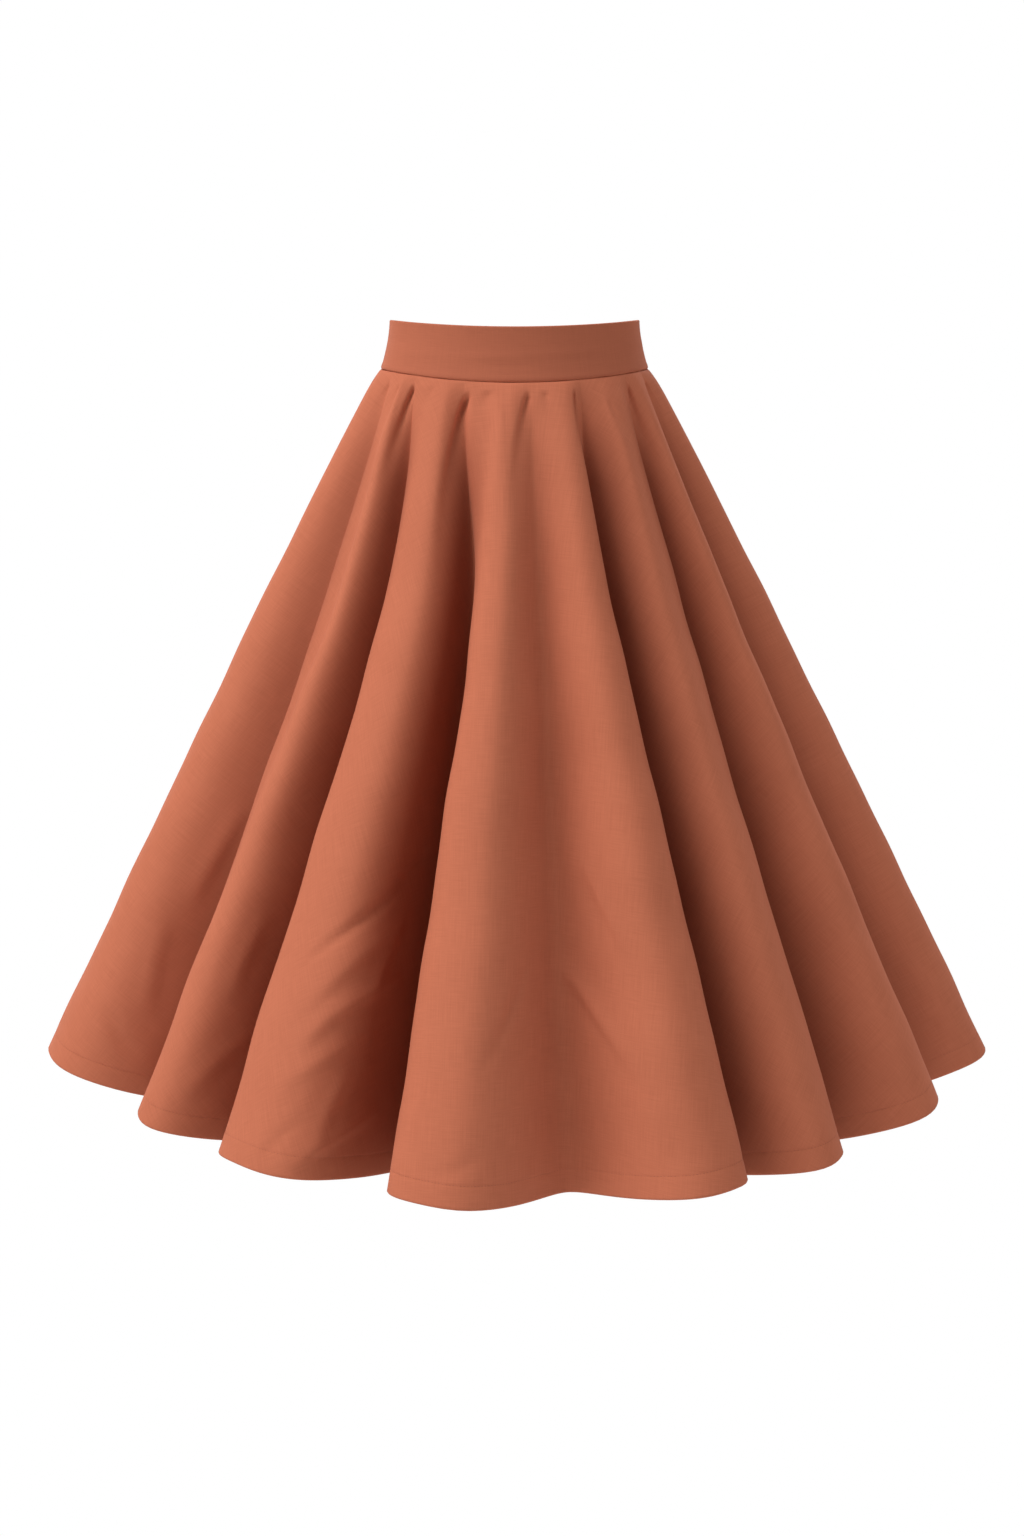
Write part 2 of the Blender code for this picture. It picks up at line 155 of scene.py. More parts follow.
def hem_curve():
    """The hem's plan line: its length at each row of the fold table, and points by length."""
    hem, lean, handle = fold_column("hem"), fold_column("lean"), fold_column("round")
    tip = fold_column("radius")[:, None] * turn(hem)
    heading = along(hem + lean) * handle[:, None]
    share = np.linspace(0, 1, HEM_SAMPLES)[:, None]
    points, marks = [tip[:1]], [0]
    for i in range(len(FOLDS) - 1):
        start, end = tip[i], tip[i + 1]
        line = ((1 - share) ** 3 * start + 3 * (1 - share) ** 2 * share * (start + heading[i])
                + 3 * (1 - share) * share**2 * (end - heading[i + 1]) + share**3 * end)
        points.append(line[1:])
        marks.append(marks[-1] + HEM_SAMPLES - 1)
    points = np.concatenate(points)
    way = np.concatenate([[0], np.cumsum(np.linalg.norm(np.diff(points, axis=0), axis=1))])
    return way[marks], way, points


HEM_MARKS, HEM_WAY, HEM_POINTS = hem_curve()


def seam_point(degrees):
    """Point on the ring where the skirt joins the band."""
    angle = np.radians(degrees)
    depth = SEAM_DEPTH["side"] + (SEAM_DEPTH["front"] - SEAM_DEPTH["side"]) * np.cos(angle) ** 2
    return np.stack([BAND_SEAM_HALF[0] * np.sin(angle), -BAND_SEAM_HALF[1] * np.cos(angle),
                     BAND_TOP_Z - depth], axis=-1)


def skirt_point(fold, t):
    """Point on the skirt's outer face: fold is a place round it in the fold table, t runs from seam to hem."""
    fold, t = np.broadcast_arrays(np.asarray(fold, dtype=float), np.asarray(t, dtype=float))
    seam, settled = steady(fold, fold_column("seam")), steady(fold, fold_column("settled"))
    top = seam_point(seam + (settled - seam) * smooth(t / SETTLED))
    way = steady(fold, HEM_MARKS)
    hem = np.stack([np.interp(way, HEM_WAY, HEM_POINTS[:, i]) for i in range(2)], axis=-1)
    row = np.clip(np.floor(fold).astype(int), 0, len(FOLDS) - 2)
    drop = fold_column("drop")
    hem_z = BAND_TOP_Z - (drop[row] + (drop[row + 1] - drop[row]) * smooth(fold - row))
    angle = np.arctan2(hem[..., 0], -hem[..., 1])
    reach = 1 / np.sqrt((np.sin(angle) / CONE_HALF[0]) ** 2 + (np.cos(angle) / CONE_HALF[1]) ** 2)
    cone = np.stack([reach * np.sin(angle), -reach * np.cos(angle)], axis=-1)
    down = t[..., None]
    plan = top[..., :2] * (1 - down) + cone * down + (hem - cone) * down**WAVE_POWER
    puff = PUFF * (1 - np.exp(-down / PUFF_START)) * np.exp(-down / PUFF_END)
    plan = plan + puff * plan / np.linalg.norm(plan, axis=-1, keepdims=True)
    z = top[..., 2] + (hem_z - top[..., 2]) * t
    return np.concatenate([plan, z[..., None]], axis=-1)


def band_point(degrees, share):
    """Point on the band's outer face: share runs from its top edge to the seam."""
    degrees, share = np.broadcast_arrays(np.asarray(degrees, dtype=float), np.asarray(share, dtype=float))
    angle = np.radians(degrees)
    front = np.cos(angle) > 0
    dip = np.where(front, BAND_TOP_DIP["front"], BAND_TOP_DIP["back"]) * np.cos(angle) ** 2
    seam_z = seam_point(degrees)[..., 2] + SEAM_SPACE
    top_z = BAND_TOP_Z - dip
    flare = np.clip(share, 0, 1) ** BAND_FLARE_POWER
    half = [BAND_TOP_HALF[i] + (BAND_SEAM_HALF[i] - BAND_TOP_HALF[i]) * flare for i in range(2)]
    z = top_z + (seam_z - top_z) * share
    return np.stack([half[0] * np.sin(angle), -half[1] * np.cos(angle), z], axis=-1)


# Creases: the soft lines on the cloth. Each row gives three places that the line runs through, as a
# place round the skirt in rows of the fold table and a share of the way from seam to hem. Then come its widths in
# millimetres on the left and right of that way, so that one side can be steeper, and its height: a negative one is
# a trough. A pinch starts narrow under the band, spreads and fades downwards; a drag fades at both ends.
PINCHES = (
    # front, from the right side seam round
    (2.06, 0.014, 1.90, 0.039, 1.75, 0.074, 3.0, 3.0, -1.8),
    (3.10, 0.014, 2.98, 0.037, 2.68, 0.071, 3.0, 3.0, -1.6),
    (3.24, 0.018, 3.18, 0.084, 2.80, 0.153, 4.0, 4.0, 2.2),
    (4.00, 0.012, 3.66, 0.064, 3.46, 0.150, 3.2, 2.6, -4.8),
    (4.72, 0.012, 4.63, 0.029, 4.55, 0.060, 3.0, 3.0, -1.5),
    (6.20, 0.012, 5.60, 0.100, 5.46, 0.250, 5.0, 3.0, -6.0),
    (6.36, 0.020, 6.26, 0.110, 6.12, 0.260, 9.0, 8.0, 6.0),
    (6.62, 0.012, 6.52, 0.032, 6.38, 0.080, 3.2, 3.0, -2.0),
    (6.84, 0.016, 6.98, 0.085, 6.98, 0.205, 3.0, 4.0, 3.4),
    (7.98, 0.012, 7.56, 0.076, 7.36, 0.190, 4.2, 3.0, -4.6),
    (8.43, 0.012, 8.48, 0.030, 8.60, 0.065, 2.6, 2.6, -2.0),
    (9.62, 0.012, 9.36, 0.055, 9.52, 0.130, 3.4, 2.6, -4.4),
    (10.60, 0.026, 10.78, 0.080, 11.02, 0.200, 3.0, 4.4, 3.0),
    (10.78, 0.028, 10.86, 0.055, 10.95, 0.090, 2.0, 2.6, -1.6),
    (11.42, 0.014, 11.30, 0.042, 11.33, 0.100, 2.6, 3.2, 2.2),
    (12.10, 0.014, 12.16, 0.055, 12.45, 0.130, 3.0, 2.6, -3.8),
    (14.08, 0.013, 14.14, 0.037, 14.22, 0.080, 2.8, 2.8, -2.4),
    # back
    (17.20, 0.013, 17.10, 0.035, 16.98, 0.070, 2.8, 2.8, -1.4),
    (18.00, 0.012, 17.85, 0.045, 17.70, 0.120, 3.0, 2.6, -3.6),
    (18.75, 0.014, 18.85, 0.050, 18.95, 0.130, 3.2, 3.6, 2.4),
    (19.30, 0.012, 19.20, 0.030, 19.12, 0.060, 2.6, 2.6, -1.5),
    (20.00, 0.012, 19.72, 0.070, 19.55, 0.170, 3.4, 2.6, -4.6),
    (20.70, 0.013, 20.80, 0.055, 20.92, 0.170, 3.0, 4.0, 2.8),
    (21.45, 0.012, 21.50, 0.030, 21.56, 0.065, 2.6, 2.6, -1.6),
    (22.00, 0.012, 22.20, 0.045, 22.35, 0.120, 3.4, 2.8, -3.2),
    (23.10, 0.014, 23.02, 0.050, 22.95, 0.110, 3.6, 3.0, 2.0),
    (24.70, 0.013, 24.78, 0.040, 24.85, 0.090, 2.8, 2.8, -1.8),
    (25.35, 0.013, 25.25, 0.030, 25.15, 0.060, 2.6, 2.6, 1.6),
    (26.00, 0.012, 25.83, 0.060, 25.70, 0.145, 3.2, 2.6, -4.0),
    (26.85, 0.014, 26.95, 0.050, 27.05, 0.120, 3.0, 3.6, 2.4),
    (27.40, 0.012, 27.35, 0.030, 27.30, 0.060, 2.6, 2.6, -1.5),
    (28.00, 0.012, 27.72, 0.075, 27.58, 0.180, 3.4, 2.6, -4.8),
    (29.15, 0.013, 29.05, 0.045, 28.98, 0.110, 3.0, 3.0, 2.2),
    (30.00, 0.012, 30.15, 0.040, 30.25, 0.100, 3.0, 2.6, -2.8),
    (31.20, 0.013, 31.10, 0.035, 31.00, 0.075, 2.8, 2.8, -1.6),
)
DRAGS = (
    # front
    (5.80, 0.592, 5.38, 0.678, 5.06, 0.750, 5.0, 3.0, -3.2),
    (5.60, 0.700, 5.37, 0.736, 5.16, 0.805, 3.6, 8.0, 2.2),
    (5.70, 0.756, 5.36, 0.795, 5.20, 0.850, 3.8, 8.0, 3.2),
    (5.46, 0.860, 5.40, 0.918, 5.37, 0.970, 3.4, 7.0, 2.6),
    (5.68, 0.918, 5.43, 0.955, 5.28, 0.992, 3.6, 8.0, 2.8),
    (5.30, 0.925, 5.20, 0.957, 5.14, 0.990, 5.0, 3.4, -1.8),
    (5.50, 0.828, 5.30, 0.860, 5.12, 0.905, 4.0, 7.0, 1.8),
    (5.66, 0.676, 5.56, 0.732, 5.50, 0.785, 4.0, 6.0, 2.0),
    (5.62, 0.850, 5.50, 0.882, 5.41, 0.908, 4.0, 6.0, 1.6),
    (7.67, 0.718, 7.52, 0.770, 7.29, 0.850, 3.0, 3.4, -2.4),
    (7.95, 0.725, 8.26, 0.784, 8.58, 0.872, 7.0, 3.4, 3.2),
    (8.28, 0.600, 8.43, 0.655, 8.57, 0.715, 5.0, 3.2, 2.4),
    (8.54, 0.865, 8.60, 0.905, 8.61, 0.955, 3.6, 6.0, 1.6),
    (7.35, 0.930, 7.20, 0.955, 7.02, 0.965, 4.0, 4.0, -1.3),
    (3.54, 0.700, 3.48, 0.762, 3.47, 0.820, 3.6, 6.0, 2.0),
    (3.66, 0.856, 3.50, 0.905, 3.40, 0.960, 3.6, 8.0, 2.0),
    (1.52, 0.760, 1.57, 0.830, 1.63, 0.895, 4.0, 8.0, 2.2),
    (1.36, 0.895, 1.50, 0.930, 1.66, 0.952, 6.0, 3.6, -2.0),
    (1.80, 0.590, 1.70, 0.670, 1.64, 0.740, 4.6, 8.0, 2.2),
    (8.92, 0.815, 8.98, 0.868, 8.95, 0.915, 4.0, 6.0, 1.0),
    (10.80, 0.720, 10.95, 0.800, 11.02, 0.870, 5.0, 7.0, 1.3),
    (10.72, 0.880, 10.86, 0.915, 11.00, 0.935, 5.0, 4.0, -1.1),
    (12.66, 0.640, 12.80, 0.720, 12.88, 0.790, 7.0, 5.0, -1.5),
    (12.68, 0.845, 12.74, 0.890, 12.72, 0.940, 5.0, 7.0, 1.3),
    (14.60, 0.800, 14.66, 0.880, 14.68, 0.950, 5.0, 8.0, 1.4),
    # sides and backs
    (16.60, 0.640, 16.80, 0.700, 16.95, 0.790, 5.0, 8.0, 1.6),
    (17.60, 0.840, 17.40, 0.890, 17.20, 0.950, 8.0, 4.0, -1.8),
    (19.68, 0.580, 19.45, 0.640, 19.18, 0.730, 10.0, 3.0, -2.4),
    (19.60, 0.720, 19.38, 0.775, 19.28, 0.850, 3.4, 9.0, 2.4),
    (19.30, 0.860, 19.20, 0.905, 19.16, 0.965, 4.0, 7.0, 1.5),
    (20.50, 0.870, 20.70, 0.920, 20.85, 0.965, 5.0, 6.0, 1.4),
    (22.50, 0.610, 22.75, 0.680, 22.95, 0.730, 4.0, 8.0, 1.5),
    (23.50, 0.780, 23.30, 0.840, 23.15, 0.910, 4.0, 8.0, 1.7),
    (24.55, 0.540, 24.75, 0.610, 24.90, 0.660, 7.0, 4.0, -1.4),
    (25.66, 0.660, 25.42, 0.720, 25.16, 0.800, 9.0, 3.0, -2.2),
    (25.58, 0.790, 25.38, 0.850, 25.28, 0.930, 3.4, 8.0, 2.2),
    (27.40, 0.640, 27.20, 0.720, 27.05, 0.760, 4.0, 8.0, 1.5),
    (27.55, 0.820, 27.38, 0.880, 27.20, 0.930, 9.0, 3.4, -2.0),
    (28.60, 0.830, 28.80, 0.890, 28.90, 0.950, 5.0, 7.0, 1.5),
    (30.55, 0.600, 30.80, 0.690, 30.95, 0.760, 8.0, 4.0, -1.7),
    (31.40, 0.850, 31.25, 0.900, 31.10, 0.960, 5.0, 7.0, 1.4),
)
# Steps along a line; a pinch's width at its start and how it grows, its fading and the share in which it rises.
CREASE_STEPS = 12
PINCH_SPREAD = (0.32, 1.98)
PINCH_FADE = 0.9
PINCH_RISE = {"trough": 0.07, "ridge": 0.28}
DRAG_POWER = 0.65

# Broad, shallow rises and dips of the cloth: wavelength along and across it in metres, turn in degrees, phase, and
# height in metres.
SWELLS = (
    (0.310, 0.190, 18, 0.3, 0.0011),
    (0.170, 0.260, -25, 1.9, 0.0008),
    (0.120, 0.090, 40, 4.1, 0.0004),
)
SWELL_STARTS, SWELL_GROWS = 0.10, 0.3

# Depth and reach of the rolled edges and the stitch groove, and height, wavelength and reach of the pucker.
SEAM_ROLL = (0.0010, 0.0014)
WAIST_ROLL = (0.0005, 0.0012)
STITCH_GROOVE = (0.00022, 0.0011)
STITCH_PUCKER = (0.00010, 0.011, 0.006)

# Painted shade between the folds: the cloth's colour is darkened where the folds beside it shut it in. Places
# looked at in each row of the fold table, how far a neighbouring fold is looked for, and the share of the way down
# where the painted shade counts in full.
PAINTED_SHADE_PLACES = 12
PAINTED_SHADE_REACH = 0.30
PAINTED_SHADE_FULL = 0.16


def pattern(fold, t):
    """Where a place on the skirt lies on the flat circle that it was cut from, in metres."""
    angle = 2 * np.pi * steady(np.asarray(fold, dtype=float), HEM_MARKS) / HEM_MARKS[-1]
    radius = WAIST_RADIUS + CLOTH_LENGTH * np.asarray(t, dtype=float)
    return np.stack([radius * np.cos(angle), radius * np.sin(angle)], axis=-1)


def crease_height(flat):
    """Height that the crease table adds at each flat place."""
    total = np.zeros(flat.shape[:-1])
    share = np.linspace(0, 1, CREASE_STEPS + 1)
    for number, row in enumerate(PINCHES + DRAGS):
        fa, ta, fb, tb, fc, tc = row[:6]
        left, right, height = (value / 1000 for value in row[6:])
        first, middle, last = (1 - share) * (1 - 2 * share), 4 * share * (1 - share), share * (2 * share - 1)
        line = pattern(fa * first + fb * middle + fc * last, ta * first + tb * middle + tc * last)
        margin = 4 * max(left, right)
        near = np.all((flat > line.min(axis=0) - margin) & (flat < line.max(axis=0) + margin), axis=-1)
        spots = flat[near]
        best = np.full(len(spots), 1e9)
        place, width = np.zeros(len(spots)), np.full(len(spots), left)
        for k in range(CREASE_STEPS):
            start, run = line[k], line[k + 1] - line[k]
            off = spots - start
            q = np.clip((off @ run) / (run @ run), 0, 1)
            distance = np.linalg.norm(off - q[:, None] * run, axis=1)
            closer = distance < best
            best = np.where(closer, distance, best)
            place = np.where(closer, (k + q) / CREASE_STEPS, place)
            width = np.where(closer, np.where(run[0] * off[:, 1] > run[1] * off[:, 0], left, right), width)
        if number < len(PINCHES):
            rise = PINCH_RISE["trough" if height < 0 else "ridge"]
            reach = width * (PINCH_SPREAD[0] + PINCH_SPREAD[1] * place)
            fade = (1 - np.exp(-((place / rise) ** 2))) * (1 - place) ** PINCH_FADE
        else:
            reach = width
            fade = np.sin(np.pi * np.clip(place, 0.001, 0.999)) ** DRAG_POWER
        total[near] += height * fade * np.exp(-0.5 * (best / reach) ** 2)
    return total


def swell_height(flat, t):
    """The cloth's broad rises and dips."""
    total = np.zeros(flat.shape[:-1])
    for long_way, cross_way, degrees, phase, height in SWELLS:
        angle = math.radians(degrees)
        a = flat[..., 0] * math.cos(angle) + flat[..., 1] * math.sin(angle)
        b = flat[..., 1] * math.cos(angle) - flat[..., 0] * math.sin(angle)
        total += height * np.sin(2 * np.pi * a / long_way + phase) * np.cos(2 * np.pi * b / cross_way + phase)
    return total * smooth((t - SWELL_STARTS) / SWELL_GROWS)


def fold_places():
    """Columns of the cloth's mesh round the skirt, closer together in the valleys and beside the seams."""
    places = [np.array([float(ROUND_AGAIN)])]
    for i in range(ROUND_AGAIN):
        count = FINER_FOLDS.get(i, COLUMNS_PER_FOLD)
        share = np.arange(count) / count
        q = share**VALLEY_CROWDING if i % 2 == 0 else 1 - (1 - share) ** VALLEY_CROWDING
        places.append(i + q)
    for seam in SEAMS:
        for offset in EDGE_COLUMNS:
            places.append(np.array([x for x in (seam - offset, seam + offset) if 0 < x < ROUND_AGAIN]))
    places = np.unique(np.concatenate(places).round(6))
    panels = [odd_count(places[(places >= first) & (places <= last)], 0) for _, first, last in PANELS]
    return np.unique(np.concatenate(panels))


def cloth_levels():
    """Rows of the cloth's mesh from the waist seam to the hem's edge."""
    near_waist = np.array([0, 0.6, 1.2, 2.0, 3.0, 4.2, 5.6, 7.2, 9.0, 11.0, 13.5, 16.0]) / 1000 / CLOTH_LENGTH
    pinched = np.linspace(0.025, 0.15, 29)
    middle = np.concatenate([np.linspace(0.15, 0.60, 44)[1:], np.linspace(0.60, 0.963, 67)[1:]])
    above_edge = [24.5, 22.6, 21.9, 20.9, 20.1, 18.5, 15.5, 12, 8, 5, 2.8, 1.4, 0.6, 0.2, 0]
    hem = 1 - np.array(above_edge) / 1000 / CLOTH_LENGTH
    return odd_count(np.concatenate([near_waist, pinched, middle, hem]), 12)


def plain_surface(fold, t):
    """The plain form's points, its normals facing out, and its width in metres for a row of the fold table."""
    fold, t = np.broadcast_arrays(np.asarray(fold, dtype=float), np.asarray(t, dtype=float))
    base = skirt_point(fold, t)
    ahead, behind = np.mod(fold + 0.01, ROUND_AGAIN), np.mod(fold - 0.01, ROUND_AGAIN)
    round_way = skirt_point(ahead, t) - skirt_point(behind, t)
    down_way = skirt_point(fold, t + 0.001) - skirt_point(fold, np.maximum(t - 0.001, 0))
    normal = np.cross(round_way, down_way)
    normal /= np.linalg.norm(normal, axis=-1, keepdims=True)
    facing = (normal * base * (1, 1, 0)).sum(axis=-1).mean()
    return base, normal * np.sign(facing), np.linalg.norm(round_way, axis=-1) / 0.02


def dressed(fold, t):
    """The cloth's outer face at any places: points, normals, wall and flat places."""
    fold, t = np.broadcast_arrays(np.asarray(fold, dtype=float), np.asarray(t, dtype=float))
    base, normal, width_per_fold = plain_surface(fold, t)
    flat = pattern(fold, t)
    height = crease_height(flat) + swell_height(flat, t)
    below_waist, above_hem = t * CLOTH_LENGTH, (1 - t) * CLOTH_LENGTH
    height -= WAIST_ROLL[0] * np.exp(-((below_waist / WAIST_ROLL[1]) ** 2))
    way = steady(fold, HEM_MARKS)
    pucker = STITCH_PUCKER[0] * np.sin(2 * np.pi * way / STITCH_PUCKER[1] + 2 * np.sin(way * 9))
    groove = np.exp(-(((above_hem - HEM_STITCH_UP) / STITCH_GROOVE[1]) ** 2))
    height -= STITCH_GROOVE[0] * groove
    height += pucker * np.exp(-(((above_hem - HEM_STITCH_UP) / STITCH_PUCKER[2]) ** 2))
    edge = HEM_EDGE_DEPTH * np.exp(-((above_hem / HEM_EDGE_REACH) ** 2))
    height -= edge
    for seam in SEAMS:
        away = np.abs(fold - seam) * width_per_fold
        height -= SEAM_ROLL[0] * np.exp(-((away / SEAM_ROLL[1]) ** 2))
    wall = np.where(above_hem < HEM_WIDTH, HEM_WALL, CLOTH_WALL)
    wall = np.where(above_hem < HEM_EDGE, HEM_WALL - edge, wall)
    return base + normal * height[..., None], normal, wall, flat


def fold_painted_shade():
    """How far the folds beside it shut in the hem at places round it, the mask of the painted shade: 0 is open and
    1 is shut in.
    """
    places = np.arange(0, ROUND_AGAIN, 1 / PAINTED_SHADE_PLACES)
    way = steady(places, HEM_MARKS)
    spots = np.stack([np.interp(way, HEM_WAY, HEM_POINTS[:, i]) for i in range(2)], axis=-1)
    run = np.roll(spots, -1, axis=0) - np.roll(spots, 1, axis=0)
    run /= np.linalg.norm(run, axis=1, keepdims=True)
    out = np.stack([run[:, 1], -run[:, 0]], axis=-1)
    out = out * np.sign((out * spots).sum(axis=1).mean())
    start, end = spots, np.roll(spots, -1, axis=0)
    shut = np.zeros(len(spots))
    total = 0
    for angle in np.radians(np.arange(-84, 85, 8)):
        ray = out * np.cos(angle) + run * np.sin(angle)
        weight = np.cos(angle)
        side = end[None] - start[None]
        gap = start[None] - (spots + out * 0.001)[:, None]
        cross = ray[:, None, 0] * side[..., 1] - ray[:, None, 1] * side[..., 0]
        cross = np.where(np.abs(cross) < 1e-12, 1e-12, cross)
        reach = (gap[..., 0] * side[..., 1] - gap[..., 1] * side[..., 0]) / cross
        share = (gap[..., 0] * ray[:, None, 1] - gap[..., 1] * ray[:, None, 0]) / cross
        hit = ((reach > 0.002) & (reach < PAINTED_SHADE_REACH) & (share >= 0) & (share <= 1)).any(axis=1)
        shut += weight * hit
        total += weight
    return places, shut / total


def cloth_surface():
    """The whole skirt's outer face, normals, wall, flat places and painted shade, as grids round by down."""
    fold, t = fold_places(), cloth_levels()
    outer, normal, wall, flat = dressed(fold[:, None], t[None, :])
    places, shut = fold_painted_shade()
    # Painted shade: the hem's shut-in share, carried up the cloth and faded out towards the waist.
    painted_shade = np.interp(fold, places, shut, period=ROUND_AGAIN)[:, None] * smooth(t / PAINTED_SHADE_FULL)[None, :]
    return {"fold": fold, "outer": outer, "normal": normal, "wall": wall, "flat": flat, "painted_shade": painted_shade}


def draw_back(edge, inner, space):
    """Moves edge points towards their inner neighbours by a set space."""
    step = inner - edge
    return edge + step * (space / np.linalg.norm(step, axis=-1, keepdims=True))


def add_cut(mesh, places):
    """Gives a mesh the flat places of its points as its UV map."""
    corner = np.zeros(len(mesh.loops), dtype=np.int32)
    mesh.loops.foreach_get("vertex_index", corner)
    mesh.uv_layers.new(name="cut").data.foreach_set("uv", places[corner].ravel())


def finished(mesh, bm, material):
    """Turns a mesh's faces out, smooths it and puts it in the scene with its material."""
    bmesh.ops.recalc_face_normals(bm, faces=bm.faces)
    if bm.calc_volume(signed=True) < 0:
        bmesh.ops.reverse_faces(bm, faces=bm.faces)
    bm.to_mesh(mesh)
    bm.free()
    for polygon in mesh.polygons:
        polygon.use_smooth = True
    mesh.materials.append(material)
    obj = bpy.data.objects.new(mesh.name, mesh)
    bpy.context.scene.collection.objects.link(obj)
    return obj


def shell(name, outer, inner, flat, painted_shade, material):
    """A closed wall between a grid of points and one with every other column and row of it; its points carry the
    painted shade.
    """
    columns, rows = outer.shape[:2]
    number = np.arange(columns * rows).reshape(columns, rows)
    fewer = columns * rows + np.arange(inner.shape[0] * inner.shape[1]).reshape(inner.shape[:2])
    points = np.concatenate([outer.reshape(-1, 3), inner.reshape(-1, 3)])

    def quads(grid):
        return np.stack([grid[:-1, :-1], grid[:-1, 1:], grid[1:, 1:], grid[1:, :-1]], axis=-1).reshape(-1, 4)

    def rim(grid):
        return np.concatenate([grid[:, 0], grid[-1, 1:], grid[-2::-1, -1], grid[0, -2:0:-1]])

    out_rim, here = rim(number), rim(fewer)
    after = np.roll(here, -1)
    first, second, third = out_rim[::2], out_rim[1::2], np.roll(out_rim[::2], -1)
    edge = np.stack([here, first, second, after], axis=-1)
    fours = np.concatenate([quads(number), quads(fewer)[:, ::-1], edge])
    threes = np.stack([after, second, third], axis=-1)
    loops = np.concatenate([fours.ravel(), threes.ravel()])
    starts = np.concatenate([np.arange(len(fours)) * 4, fours.size + np.arange(len(threes)) * 3])
    mesh = bpy.data.meshes.new(name)
    mesh.vertices.add(len(points))
    mesh.vertices.foreach_set("co", points.ravel())
    mesh.loops.add(len(loops))
    mesh.loops.foreach_set("vertex_index", loops.astype(np.int32))
    mesh.polygons.add(len(starts))
    mesh.polygons.foreach_set("loop_start", starts.astype(np.int32))
    mesh.update(calc_edges=True)
    add_cut(mesh, np.concatenate([flat.reshape(-1, 2), flat[::2, ::2].reshape(-1, 2)]))
    bm = bmesh.new()
    bm.from_mesh(mesh)
    obj = finished(mesh, bm, material)
    # Painted shade between the folds, stored on each point for the cloth's material to darken its colour.
    deep = mesh.attributes.new("painted_shade", "FLOAT", "POINT")
    deep.data.foreach_set("value", np.concatenate([painted_shade.ravel(), painted_shade[::2, ::2].ravel()]))
    return obj


def odd_count(places, protected):
    """Adds one place, midway in the widest space, if the number of places is even."""
    if len(places) % 2 == 1:
        return places
    space = np.diff(places)
    space[:protected] = 0
    k = int(space.argmax())
    return np.insert(places, k + 1, (places[k] + places[k + 1]) / 2)


def cloth_panel(name, surface, first, last, material):
    """One panel's cloth, cut out of the whole surface between two rows of the fold table."""
    inside = (surface["fold"] >= first - 1e-6) & (surface["fold"] <= last + 1e-6)
    part = {key: values[inside] for key, values in surface.items()}
    outer = part["outer"]
    outer[0] = draw_back(outer[0], outer[1], SEAM_SPACE / 2)
    outer[-1] = draw_back(outer[-1], outer[-2], SEAM_SPACE / 2)
    inner = (outer - part["normal"] * part["wall"][..., None])[::2, ::2]
    return shell(name, outer, inner, part["flat"], part["painted_shade"], material)


# Cloth inside the seams: its depth below the outer face, how thick it is, and the shares of the way it covers.
# At the centre back it starts thin, behind the zip tape.
PRESSED_DEPTH, PRESSED_WALL, BEHIND_TAPE_WALL = 0.00125, 0.00115, 0.00035
ALLOWANCE_STARTS = {SIDE_SEAM_RIGHT: 0.0065, SIDE_SEAM_LEFT: 0.0065, BACK_SEAM: 0.185}
TAPE_ENDS, TAPE_FADES = 0.2045, 0.01
ALLOWANCE_ROWS, ALLOWANCE_ENDS = 110, 0.0008
WAIST_STRIP_END = 0.0055
HEM_JOIN = {"width": 0.004, "depth": 0.00225, "wall": 0.0005, "top": 0.0004, "foot": 0.0015}


def inner_strip(name, fold, t, depth, wall, material, rise=0.0):
    """A thin closed strip of cloth on the skirt's inner side; rise lifts its first row."""
    fold, t = np.broadcast_arrays(fold, t)
    base, normal, _ = plain_surface(fold, t)
    flat = pattern(fold, t)
    height = crease_height(flat) + swell_height(flat, t)
    face = base + normal * height[..., None]
    face[:, 0, 2] += rise
    outer, inner = face - normal * depth, face - normal * (depth + wall)[..., None]
    columns, rows = fold.shape
    number = np.arange(columns * rows).reshape(columns, rows)
    ring = np.concatenate([number, (number + columns * rows)[::-1]])
    ring = np.concatenate([ring, ring[:1]])
    faces = np.stack([ring[:-1, :-1], ring[:-1, 1:], ring[1:, 1:], ring[1:, :-1]], axis=-1).reshape(-1, 4)
    caps = []
    for row in (0, rows - 1):
        for here, after in zip(number[:-1, row], number[1:, row]):
            caps.append([here, after, after + columns * rows, here + columns * rows])
    points = np.concatenate([outer.reshape(-1, 3), inner.reshape(-1, 3)])
    flat = np.concatenate([flat.reshape(-1, 2)] * 2)
    return closed_piece(name, points, faces.tolist() + caps, flat, material)


def seam_places(seam, width, t):
    """Places round the skirt on both hands of a seam, out to a set width."""
    spread = np.array([-1, -0.85, -0.6, -0.3, -0.08, 0, 0.08, 0.3, 0.6, 0.85, 1])[:, None]
    width_per_fold = plain_surface(np.full((1, 1), float(seam)), t)[2]
    return np.mod(seam + spread * width / width_per_fold, ROUND_AGAIN)


def seam_allowance(name, seam, material):
    """The two edges of the panels inside one seam, pressed open."""
    start, end = ALLOWANCE_STARTS[seam], 1 - (HEM_WIDTH + ALLOWANCE_ENDS) / CLOTH_LENGTH
    t = np.linspace(start, end, ALLOWANCE_ROWS)[None, :]
    wall = np.full(t.shape, PRESSED_WALL)
    if seam == BACK_SEAM:
        wall = BEHIND_TAPE_WALL + (PRESSED_WALL - BEHIND_TAPE_WALL) * smooth((t - TAPE_ENDS) / TAPE_FADES)
    return inner_strip(name, seam_places(seam, SEAM_ALLOWANCE, t), t, PRESSED_DEPTH, wall, material)


